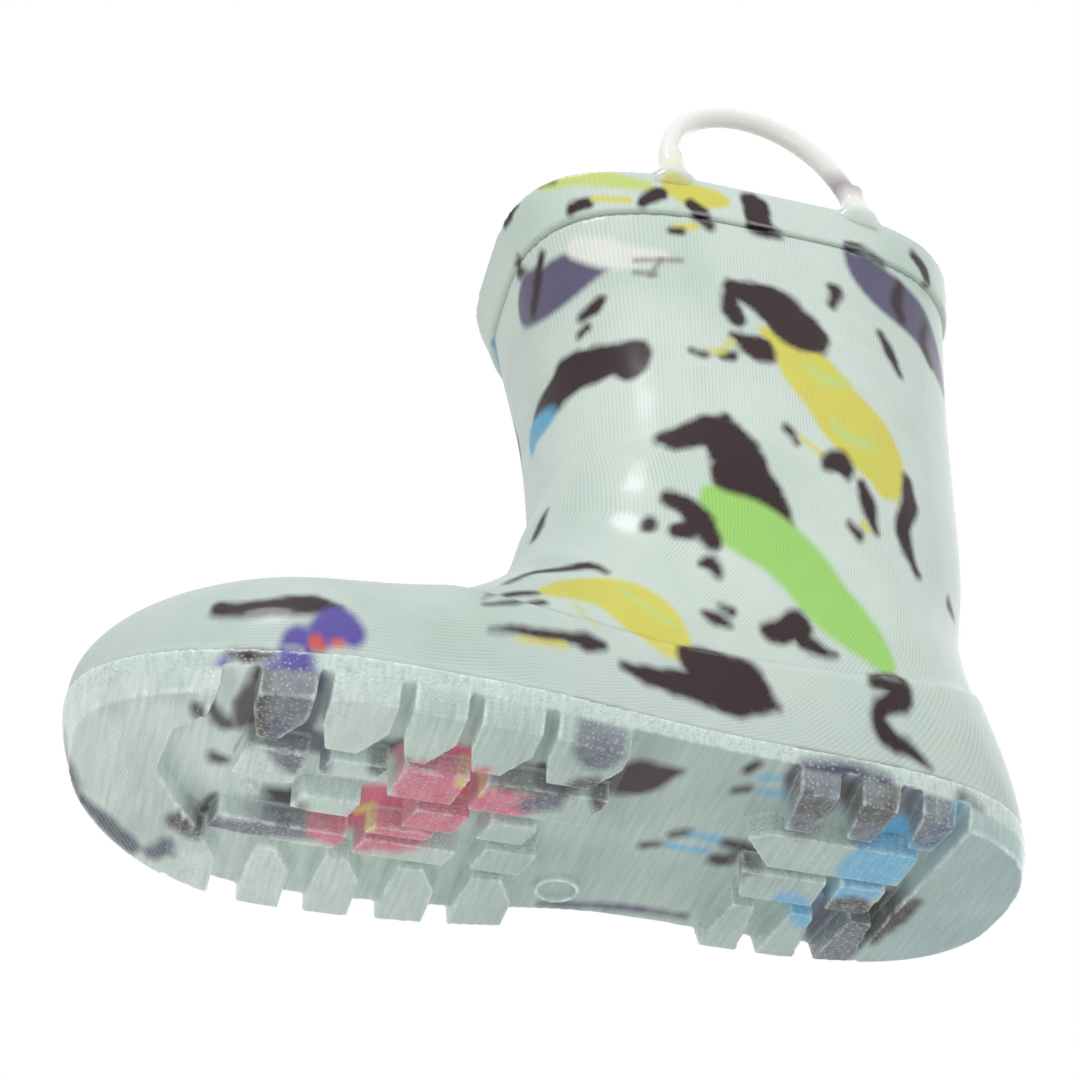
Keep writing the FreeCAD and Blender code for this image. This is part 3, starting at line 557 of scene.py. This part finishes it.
def clear_pvc_over_knit(name, depth, gloss, milk):
    """Printed polyester knit bonded under clear PVC: the ribs sit below a smooth wet-looking skin.

    depth is how strongly the ribs show, gloss the roughness of the clear skin, milk how cloudy the PVC is."""
    material, tree = new_material(name)
    ink = add(tree, "ShaderNodeAttribute", {"attribute_name": "print"})
    groove = knit_lines(tree, 330, 0.95)
    place = add(tree, "ShaderNodeTexCoord")
    bond = add(tree, "ShaderNodeTexNoise", {"Scale": cells_of(6.25), "Detail": 2.0},
               {"Vector": place.outputs["Object"]})
    grip = add(tree, "ShaderNodeMapRange",
               {"From Min": 0.3, "From Max": 0.7, "To Min": 0.3 * depth, "To Max": 1.6 * depth},
               {"Value": bond.outputs["Fac"]})
    shade = add(tree, "ShaderNodeMath", {"operation": "MULTIPLY"},
                {0: groove.outputs[0], 1: grip.outputs[0]})
    ribbed = add(tree, "ShaderNodeMix",
                 {"data_type": "RGBA", "blend_type": "MULTIPLY", 7: linear("#8fa09a")},
                 {0: shade.outputs[0], 6: ink.outputs["Color"]})
    light = add(tree, "ShaderNodeMath", {"operation": "MULTIPLY", 1: milk}, {0: shade.outputs[0]})
    misted = add(tree, "ShaderNodeMix", {"data_type": "RGBA", 7: linear("#aab5b3")},
                 {0: light.outputs[0], 6: ribbed.outputs[2]})
    # Convex moulded edges, from the bulge attribute, are lightened towards pale clear PVC: partly the clear
    # edge of the moulding, partly a painted highlight.
    edge = add(tree, "ShaderNodeAttribute", {"attribute_name": "bulge"})
    clear = add(tree, "ShaderNodeMapRange",
                {"From Min": 0.08, "From Max": 0.5, "To Min": 0.0, "To Max": 0.6},
                {"Value": edge.outputs["Fac"]})
    edge_lightened = add(tree, "ShaderNodeMix", {"data_type": "RGBA", 7: linear("#e2ede9")},
                  {0: clear.outputs[0], 6: misted.outputs[2]})
    # Surfaces seen at a slant are darkened: partly the longer path through the PVC, partly painted shade
    # round the outline.
    slope = add(tree, "ShaderNodeLayerWeight", {"Blend": 0.22})
    thick = add(tree, "ShaderNodeMath", {"operation": "MULTIPLY", 1: 0.55}, {0: slope.outputs["Facing"]})
    slant_shaded = add(tree, "ShaderNodeMix", {"data_type": "RGBA", "blend_type": "MULTIPLY", 7: linear("#879a93")},
               {0: thick.outputs[0], 6: edge_lightened.outputs[2]})
    relief = add(tree, "ShaderNodeBump", {"Strength": 0.2, "Distance": 0.1 * MM, "invert": True},
                 {"Height": groove.outputs[0]})
    swell = add(tree, "ShaderNodeTexNoise", {"Scale": cells_of(14.3), "Detail": 1.0},
                {"Vector": place.outputs["Object"]})
    skin = add(tree, "ShaderNodeBump", {"Strength": 0.12, "Distance": 0.6 * MM},
               {"Height": swell.outputs["Fac"]})
    shader = add(tree, "ShaderNodeBsdfPrincipled",
                 {"Roughness": 0.5, "IOR": 1.4, "Specular IOR Level": 0.25, "Coat Weight": 0.35,
                  "Coat Roughness": gloss, "Coat IOR": 1.45, "Subsurface Weight": 0.05,
                  "Subsurface Radius": (0.002, 0.002, 0.0018), "Subsurface Scale": 1.0},
                 {"Base Color": slant_shaded.outputs[2], "Normal": relief.outputs[0],
                  "Coat Normal": skin.outputs[0]})
    finish_material(tree, shader)
    return material


def frosted_sole_pvc(name):
    """Thick clear PVC from an etched mould: print shows through the flats, lugs are frosted, and the pips and
    convex edges are whitened as painted highlights.

    The weak emission stands for light that comes through the plastic."""
    material, tree = new_material(name)
    ink = add(tree, "ShaderNodeAttribute", {"attribute_name": "print"})
    lug = add(tree, "ShaderNodeAttribute", {"attribute_name": "lug"})
    etched = add(tree, "ShaderNodeAttribute", {"attribute_name": "etched"})
    ribbed = add(tree, "ShaderNodeAttribute", {"attribute_name": "ribbed"})
    place = add(tree, "ShaderNodeTexCoord")
    pips = add(tree, "ShaderNodeTexVoronoi", {"Scale": cells_of(0.87), "Randomness": 0.75},
               {"Vector": place.outputs["Object"]})
    pip = add(tree, "ShaderNodeMapRange", {"From Min": 0.05, "From Max": 0.45, "To Min": 1.0, "To Max": 0.0},
              {"Value": pips.outputs["Distance"]})
    pip_on = add(tree, "ShaderNodeMath", {"operation": "MULTIPLY"},
                 {0: pip.outputs[0], 1: etched.outputs["Fac"]})
    cloud = add(tree, "ShaderNodeTexNoise", {"Scale": cells_of(2.38), "Detail": 4.0, "Roughness": 0.65},
                {"Vector": place.outputs["Object"]})
    frost = add(tree, "ShaderNodeMapRange",
                {"From Min": 0.35, "From Max": 0.65, "To Min": 0.0, "To Max": 0.24},
                {"Value": cloud.outputs["Fac"]})
    frost_on = add(tree, "ShaderNodeMath", {"operation": "MULTIPLY"},
                   {0: frost.outputs[0], 1: lug.outputs["Fac"]})
    frosted = add(tree, "ShaderNodeMix", {"data_type": "RGBA", 7: linear("#bccac7")},
                  {0: frost_on.outputs[0], 6: ink.outputs["Color"]})
    # The raised pips are whitened by up to half: painted highlights on the etched dots.
    pip_glint = add(tree, "ShaderNodeMath", {"operation": "MULTIPLY", 1: 0.5}, {0: pip_on.outputs[0]})
    pip_lit = add(tree, "ShaderNodeMix", {"data_type": "RGBA", 7: linear("#dbe5e3")},
                   {0: pip_glint.outputs[0], 6: frosted.outputs[2]})
    # Convex edges, from the bulge attribute, are whitened where the cloud lets them: painted highlights round
    # the lugs.
    glint_breakup = add(tree, "ShaderNodeMapRange",
                 {"From Min": 0.4, "From Max": 0.6, "To Min": 0.1, "To Max": 0.6},
                 {"Value": cloud.outputs["Fac"]})
    edge = add(tree, "ShaderNodeAttribute", {"attribute_name": "bulge"})
    edge_glint = add(tree, "ShaderNodeMapRange",
                 {"From Min": 0.1, "From Max": 0.5, "To Min": 0.0, "To Max": 1.0},
                 {"Value": edge.outputs["Fac"]})
    edge_glint = add(tree, "ShaderNodeMath", {"operation": "MULTIPLY"},
                 {0: edge_glint.outputs[0], 1: glint_breakup.outputs[0]})
    edge_glinted = add(tree, "ShaderNodeMix", {"data_type": "RGBA", 7: linear("#eff4f3")},
                {0: edge_glint.outputs[0], 6: pip_lit.outputs[2]})
    lain = add(tree, "ShaderNodeMapping", {"Rotation": (0, 0, math.radians(-29)),
                                           "Scale": (cells_of(11.1), cells_of(0.77), cells_of(3.33))},
               {"Vector": place.outputs["Object"]})
    streak = add(tree, "ShaderNodeTexNoise", {"Scale": 1.0, "Detail": 2.0},
                 {"Vector": lain.outputs["Vector"]})
    streak = add(tree, "ShaderNodeMapRange",
                 {"From Min": 0.3, "From Max": 0.75, "To Min": 0.0, "To Max": 0.4},
                 {"Value": streak.outputs["Fac"]})
    edge_glinted = add(tree, "ShaderNodeMix", {"data_type": "RGBA", "blend_type": "MULTIPLY", 7: linear("#b4c2bf")},
                {0: streak.outputs[0], 6: edge_glinted.outputs[2]})
    axes = add(tree, "ShaderNodeSeparateXYZ", links={0: place.outputs["Object"]})
    slanted = add(tree, "ShaderNodeMath", {"operation": "MULTIPLY_ADD", 1: 0.55},
                  {0: axes.outputs["X"], 2: axes.outputs["Y"]})
    ridge = add(tree, "ShaderNodeMath", {"operation": "MULTIPLY", 1: 2 * math.pi * cells_of(0.95)},
                {0: slanted.outputs[0]})
    ridge = add(tree, "ShaderNodeMath", {"operation": "COSINE"}, {0: ridge.outputs[0]})
    ridge_on = add(tree, "ShaderNodeMath", {"operation": "MULTIPLY"},
                   {0: ridge.outputs[0], 1: ribbed.outputs["Fac"]})
    first = add(tree, "ShaderNodeBump", {"Strength": 0.6, "Distance": 0.15 * MM},
                {"Height": ridge_on.outputs[0]})
    second = add(tree, "ShaderNodeBump", {"Strength": 0.9, "Distance": 0.3 * MM},
                 {"Height": pip_on.outputs[0], "Normal": first.outputs[0]})
    third = add(tree, "ShaderNodeBump", {"Strength": 0.3, "Distance": 0.3 * MM},
                {"Height": frost_on.outputs[0], "Normal": second.outputs[0]})
    shader = add(tree, "ShaderNodeBsdfPrincipled",
                 {"Roughness": 0.32, "IOR": 1.5, "Specular IOR Level": 0.35, "Coat Weight": 0.3,
                  "Coat Roughness": 0.16, "Emission Strength": 0.14, "Subsurface Weight": 0.4,
                  "Subsurface Radius": (0.002, 0.002, 0.0018), "Subsurface Scale": 1.0},
                 {"Base Color": edge_glinted.outputs[2], "Emission Color": edge_glinted.outputs[2],
                  "Normal": third.outputs[0], "Coat Normal": third.outputs[0]})
    finish_material(tree, shader)
    return material


def milky_pvc(name):
    """Unprinted translucent PVC of the pull handles: cloudy white with a faint stain of print."""
    material, tree = new_material(name)
    stain = add(tree, "ShaderNodeAttribute", {"attribute_name": "print"})
    place = add(tree, "ShaderNodeTexCoord")
    cloud = add(tree, "ShaderNodeTexNoise", {"Scale": cells_of(6.25), "Detail": 3.0},
                {"Vector": place.outputs["Object"]})
    mist = add(tree, "ShaderNodeMapRange", {"From Min": 0.3, "From Max": 0.7, "To Min": 0.0, "To Max": 0.25},
               {"Value": cloud.outputs["Fac"]})
    tinted = add(tree, "ShaderNodeMix", {"data_type": "RGBA", 7: linear("#eff0ed")},
                 {0: mist.outputs[0], 6: stain.outputs["Color"]})
    # The faint emission is painted light: a slight glow that brightens the handles.
    shader = add(tree, "ShaderNodeBsdfPrincipled",
                 {"Roughness": 0.22, "IOR": 1.5, "Coat Weight": 0.4, "Coat Roughness": 0.1,
                  "Transmission Weight": 0.1, "Emission Strength": 0.04, "Subsurface Weight": 0.4,
                  "Subsurface Radius": (0.004, 0.004, 0.0036), "Subsurface Scale": 1.0},
                 {"Base Color": tinted.outputs[2], "Emission Color": tinted.outputs[2]})
    finish_material(tree, shader)
    return material


def plain_knit(name, code, row_mm, stains):
    """Polyester jersey seen bare inside the boot: matt, with fine columns and a faint nap.

    row_mm is the height of a row of loops, stains how strongly the print shows from the other face."""
    material, tree = new_material(name)
    place = add(tree, "ShaderNodeTexCoord")
    axes = add(tree, "ShaderNodeSeparateXYZ", links={0: place.outputs["Object"]})
    turn = add(tree, "ShaderNodeMath", {"operation": "SUBTRACT", 1: 0.036}, {0: axes.outputs["Y"]})
    turn = add(tree, "ShaderNodeMath", {"operation": "ARCTAN2"}, {0: axes.outputs["X"], 1: turn.outputs[0]})
    column = add(tree, "ShaderNodeMath", {"operation": "MULTIPLY", 1: 340.0}, {0: turn.outputs[0]})
    column = add(tree, "ShaderNodeMath", {"operation": "COSINE"}, {0: column.outputs[0]})
    row = add(tree, "ShaderNodeMath", {"operation": "MULTIPLY", 1: 2 * math.pi * cells_of(row_mm)},
              {0: axes.outputs["Z"]})
    row = add(tree, "ShaderNodeMath", {"operation": "COSINE"}, {0: row.outputs[0]})
    loops = add(tree, "ShaderNodeMath", {"operation": "ADD"}, {0: column.outputs[0], 1: row.outputs[0]})
    loops = add(tree, "ShaderNodeMapRange", {"From Min": -2.0, "From Max": 2.0}, {"Value": loops.outputs[0]})
    blot = add(tree, "ShaderNodeTexNoise", {"Scale": cells_of(26.3), "Detail": 2.0, "Distortion": 0.8},
               {"Vector": place.outputs["Object"]})
    shows = add(tree, "ShaderNodeMapRange",
                {"From Min": 0.60, "From Max": 0.64, "To Min": 0.0, "To Max": stains},
                {"Value": blot.outputs["Fac"]})
    base = add(tree, "ShaderNodeMix", {"data_type": "RGBA", 6: linear(code), 7: linear("#8e868f")},
               {0: shows.outputs[0]})
    shade = add(tree, "ShaderNodeMath", {"operation": "MULTIPLY", 1: 0.2}, {0: loops.outputs[0]})
    yarn = add(tree, "ShaderNodeMix", {"data_type": "RGBA", 7: linear("#93a39d")},
               {0: shade.outputs[0], 6: base.outputs[2]})
    relief = add(tree, "ShaderNodeBump", {"Strength": 0.5, "Distance": 0.3 * MM, "invert": True},
                 {"Height": loops.outputs[0]})
    shader = add(tree, "ShaderNodeBsdfPrincipled",
                 {"Roughness": 0.9, "Sheen Weight": 0.35, "Sheen Roughness": 0.5},
                 {"Base Color": yarn.outputs[2], "Normal": relief.outputs[0]})
    finish_material(tree, shader)
    return material


def printed_panel_knit(name):
    """Bare printed polyester knit of the sock's bottom: matt, with fine ribs."""
    material, tree = new_material(name)
    ink = add(tree, "ShaderNodeAttribute", {"attribute_name": "print"})
    groove = knit_lines(tree, 320, 0.95)
    relief = add(tree, "ShaderNodeBump", {"Strength": 0.4, "Distance": 0.15 * MM, "invert": True},
                 {"Height": groove.outputs[0]})
    shader = add(tree, "ShaderNodeBsdfPrincipled", {"Roughness": 0.85},
                 {"Base Color": ink.outputs["Color"], "Normal": relief.outputs[0]})
    finish_material(tree, shader)
    return material


def matt_paper(name):
    """Uncoated backdrop paper: matt and even, with no highlight."""
    material, tree = new_material(name)
    shader = add(tree, "ShaderNodeBsdfPrincipled", {"Base Color": linear("#dededc"), "Roughness": 0.9})
    finish_material(tree, shader)
    return material


def eva_foam(name):
    """Closed-cell EVA: matt, slightly pitted, off-white."""
    material, tree = new_material(name)
    place = add(tree, "ShaderNodeTexCoord")
    cells = add(tree, "ShaderNodeTexVoronoi", {"Scale": cells_of(0.625)},
                {"Vector": place.outputs["Object"]})
    tone = add(tree, "ShaderNodeMapRange", {"To Min": 0.0, "To Max": 0.35},
               {"Value": cells.outputs["Distance"]})
    base = add(tree, "ShaderNodeMix", {"data_type": "RGBA", 6: linear("#e3e4de"), 7: linear("#c6c9c2")},
               {0: tone.outputs[0]})
    relief = add(tree, "ShaderNodeBump", {"Strength": 0.4, "Distance": 0.2 * MM},
                 {"Height": cells.outputs["Distance"]})
    shader = add(tree, "ShaderNodeBsdfPrincipled", {"Roughness": 0.8},
                 {"Base Color": base.outputs[2], "Normal": relief.outputs[0]})
    finish_material(tree, shader)
    return material


def give(obj, material):
    obj.data.materials.clear()
    obj.data.materials.append(material)


# ------------------------------------------------------------------ the boot's pieces
def build_upper():
    """Leg, ankle and foot in one even skin over the clear moulding."""
    upper = even_skin(loose_copy("clear_upper", "upper_shell"), UPPER_GRID, 3)
    split_print_edges(upper, lambda places: printed(places, PRINT_EDGE))
    points = points_of(upper)
    paint_colour(upper, printed(points, PRINT_EDGE))
    paint(upper, "knit", knit_run(points))
    paint(upper, "bulge", bulge(upper, UPPER_GRID))
    give(upper, clear_pvc_over_knit("clear_gloss_pvc_over_printed_knit", 0.18, 0.14, 0.05))
    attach(upper, "boot")
    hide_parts("upper_shell")


def build_band():
    """Thick rim band with its handle roots."""
    band = even_skin(loose_copy("rim_band_skin", "rim_band"), BAND_GRID, 9)
    points = points_of(band)
    paint_colour(band, printed(points, 1.1))
    paint(band, "knit", knit_run(points))
    paint(band, "bulge", bulge(band, BAND_GRID))
    give(band, clear_pvc_over_knit("thick_gloss_pvc_over_printed_knit", 0.1, 0.12, 0.05))
    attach(band, "boot")
    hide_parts("rim_band")


# Height over the rim, half width across the wall and half width along it, in millimetres.
ROOT_RINGS = [(-2.6, 2.0, 5.6), (-0.6, 3.4, 5.0), (0.4, 3.7, 4.3), (1.2, 3.4, 3.7), (2.4, 2.9, 3.2),
              (4.0, 2.55, 2.8), (6.5, 2.3, 2.4), (9.0, 2.25, 2.25)]
LEG_INSET = 2.9 * MM        # middle of a handle's leg, in from the end of the handle


def root_flare(joined, x, y):
    """Bell-shaped web that carries a handle leg down over its root into the band."""
    rings = []
    for rise, across, along in ROOT_RINGS:
        rings.append([joined.verts.new((x + across * MM * math.cos(a), y + along * MM * math.sin(a),
                                        RIM_Z + rise * MM))
                      for a in np.linspace(0, 2 * math.pi, 24, endpoint=False)])
    for lower, upper in zip(rings, rings[1:]):
        for i in range(24):
            joined.faces.new((lower[i], lower[(i + 1) % 24], upper[(i + 1) % 24], upper[i]))
    joined.faces.new(rings[0][::-1])
    joined.faces.new(rings[-1])


def build_handle(name, node, joint):
    """Round pull handle that grows out of the band in one smooth moulding."""
    pivot = Vector(joint["pos_m"])
    low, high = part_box(node)
    joined = bmesh.new()
    joined.from_mesh(frame["nodes"][node].data)
    for y in (low.y + LEG_INSET, high.y - LEG_INSET):
        root_flare(joined, pivot.x, y)
    mesh = bpy.data.meshes.new(name)
    joined.to_mesh(mesh)
    joined.free()
    handle = bpy.data.objects.new(name, mesh)
    bpy.context.scene.collection.objects.link(handle)
    even_skin(handle, HANDLE_GRID, 5)
    points = points_of(handle)
    colours = np.tile(linear("#ecede9")[:3], (len(points), 1))
    rise = points[:, 2] - RIM_Z / MM
    toe_leg, heel_leg = points[:, 1] < 24, points[:, 1] > 44
    lay(colours, np.clip(0.8 - rise / 9, 0, 0.8) * toe_leg, "#dfe08a")
    lay(colours, np.clip(1 - abs(rise - 9) / 4.5, 0, 1) * heel_leg * 0.8, "#93788a")
    colours += np.clip(1 - rise / 5, 0, 1)[:, None] * (printed(points, 1.5) - colours)
    paint_colour(handle, colours)
    give(handle, milky_pvc(name + "_milky_pvc"))
    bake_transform(handle)
    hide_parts(node)


def build_outsole():
    """Clear lugged sole: printed flats, frosted lugs, etched side wall, finely ribbed toe and heel pads."""
    sole = even_skin(loose_copy("clear_outsole", "outsole"), SOLE_GRID, 2)
    points = points_of(sole)
    lifted_run = np.maximum(-TOE_LIFT_START - points[:, 1], 0)
    lift = TOE_LIFT_RADIUS - np.sqrt(TOE_LIFT_RADIUS ** 2 - lifted_run ** 2)
    at_ends = (points[:, 1] < TOE_PAD_END) | (points[:, 1] > HEEL_PAD_START)
    in_pad = at_ends & (points[:, 2] - lift < PAD_FACE)
    points[in_pad, 2] = lift[in_pad] + (points[in_pad, 2] - lift[in_pad]) * PAD_RELIEF
    sole.data.vertices.foreach_set("co", (points * MM).ravel())
    sole.data.update()
    normals = normals_of(sole)
    depth = TREAD_BASE / MM + lift - points[:, 2]
    lug = np.clip(depth / 1.2, 0, 1)
    wall = np.clip((0.75 - abs(normals[:, 2])) * 4, 0, 1) * np.clip(1 - depth, 0, 1)
    below = printed_sole(points, 1.8)
    beside = printed(points, 2.2)
    colours = below + wall[:, None] * (beside - below)
    # Lug side faces are lightened: painted light that stands for the bright bars on them and offsets the
    # shade between the lugs.
    side_face_light = np.clip((0.6 - abs(normals[:, 2])) * 3, 0, 1) * lug
    lay(colours, 0.16 * side_face_light, "#e6eeec")
    end_pad = at_ends & (lug > 0.8)
    lay(colours, 0.06 * lug * ~end_pad, "#b4c1bf")
    # The downward-facing flats between the lugs, outside the waist, are lightened: painted light against the
    # shade that falls between the lugs.
    fill_light_between_lugs = np.clip(1 - depth / 0.8, 0, 1) * (abs(points[:, 0]) < 30) * (normals[:, 2] < -0.3)
    lay(colours, 0.1 * fill_light_between_lugs * ((points[:, 1] < 8) | (points[:, 1] > 34)), "#d5e0dc")
    paint_colour(sole, colours)
    paint(sole, "lug", lug * np.where(end_pad, 0.45, 1.0))
    paint(sole, "bulge", bulge(sole, SOLE_GRID))
    paint(sole, "etched", np.clip(wall + lug * ~end_pad * 0.8, 0, 1))
    paint(sole, "ribbed", (end_pad & (normals[:, 2] < -0.5)).astype(float))
    give(sole, frosted_sole_pvc("frosted_clear_sole_pvc"))
    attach(sole, "boot")
    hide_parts("outsole")


def build_footbed():
    """Loose footbed: soft foam with rounded edges and a cloth top."""
    foam = even_skin(loose_copy("footbed_foam_pad", "footbed_foam"), FOAM_GRID, 4)
    give(foam, eva_foam("white_eva_foam"))
    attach(foam, "footbed")
    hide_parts("footbed_foam")
    cover = even_skin(loose_copy("footbed_cloth_top", "footbed_cover"), COVER_GRID, 3)
    give(cover, plain_knit("footbed_jersey", "#c3d2cb", 1.1, 0.0))
    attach(cover, "footbed")
    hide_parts("footbed_cover")


def build_lining_sole():
    """Sewn bottom of the sock, printed like the rest of it; its underside shows through the clear sole."""
    panel = even_skin(loose_copy("sewn_sock_bottom", "lining_sole"), PANEL_GRID, 2)
    points = points_of(panel)
    paint_colour(panel, printed_sole(points, 1.2))
    paint(panel, "knit",
          np.stack([np.cos(points[:, 0] / 36), np.sin(points[:, 0] / 36), points[:, 1]], axis=1))
    give(panel, printed_panel_knit("printed_knit_panel"))
    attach(panel, "boot")
    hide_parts("lining_sole")


def dress_lining():
    """The knit sock and the seam round its bottom keep their CAD shape."""
    give(frame["nodes"]["sock_lining"], plain_knit("bare_printed_jersey", GROUND, 0.95, 0.5))
    give(frame["nodes"]["sole_seam"], plain_knit("overlock_thread", "#dfe6e2", 0.6, 0.0))


# ------------------------------------------------------------------ studio
def soft_light(name, place, aim, size, power, colour):
    light = bpy.data.lights.new(name, "AREA")
    light.shape = "DISK"
    light.size = size
    light.energy = power
    light.color = colour
    obj = bpy.data.objects.new(name, light)
    bpy.context.scene.collection.objects.link(obj)
    obj.location = place
    obj.rotation_euler = (Vector(aim) - Vector(place)).to_track_quat("-Z", "Y").to_euler()


def build_studio():
    """Plain pale floor well below the held-up boot, white surround dimmer at the toe end, and soft lights."""
    mesh = bpy.data.meshes.new("pale_floor")
    half, drop = 6.0, -0.42
    mesh.from_pydata([(-half, -half, drop), (half, -half, drop), (half, half, drop), (-half, half, drop)],
                     [], [(0, 1, 2, 3)])
    floor = bpy.data.objects.new("pale_floor", mesh)
    bpy.context.scene.collection.objects.link(floor)
    give(floor, matt_paper("matt_white_paper"))
    world = bpy.data.worlds.new("white_surround")
    bpy.context.scene.world = world
    world.use_nodes = True
    tree = world.node_tree
    place = add(tree, "ShaderNodeTexCoord")
    axes = add(tree, "ShaderNodeSeparateXYZ", links={0: place.outputs["Generated"]})
    toe_side = add(tree, "ShaderNodeMapRange",
                   {"From Min": -0.95, "From Max": -0.15, "To Min": 0.72, "To Max": 1.0},
                   {"Value": axes.outputs["Y"]})
    tree.links.new(toe_side.outputs[0], tree.nodes["Background"].inputs["Strength"])
    tree.nodes["Background"].inputs["Color"].default_value = (1, 1, 1, 1)
    soft_light("key_softbox", (0.55, -0.45, 0.75), (0, 0, 0.08), 0.22, 2.2, (1, 1, 1))
    soft_light("rim_softbox", (-0.3, 0.6, 0.5), (0, 0, 0.08), 0.6, 0.6, (1, 1, 1))
    soft_light("low_softbox", (0.55, -0.35, -0.3), (0, 0, 0.02), 0.2, 0.35, (1, 1, 1))
    bpy.context.scene.view_settings.view_transform = "Standard"


def place_camera():
    """Close view of the outer side from low down, toe end nearer, so that the tread shows."""
    data = bpy.data.cameras.new("view_from_below")
    data.sensor_width = 36
    data.lens = 69.4
    camera = bpy.data.objects.new("view_from_below", data)
    bpy.context.scene.collection.objects.link(camera)
    azimuth, elevation, roll = math.radians(76.727), math.radians(-39.175), math.radians(1.482)
    back = Vector((math.sin(azimuth) * math.cos(elevation), -math.cos(azimuth) * math.cos(elevation),
                   math.sin(elevation)))
    camera.location = (0.3114, -0.0768, -0.1911)
    turn = (-back).to_track_quat("-Z", "Y").to_matrix().to_4x4()
    camera.rotation_euler = (turn @ Matrix.Rotation(roll, 4, "Z")).to_euler()
    data.clip_start = 0.01
    bpy.context.scene.camera = camera


build_upper()
build_band()
build_outsole()
build_handle("outer_pull_handle", "outer_handle", joints["outer_handle_bend"])
build_handle("inner_pull_handle", "inner_handle", joints["inner_handle_bend"])
build_lining_sole()
build_footbed()
dress_lining()
build_studio()
place_camera()
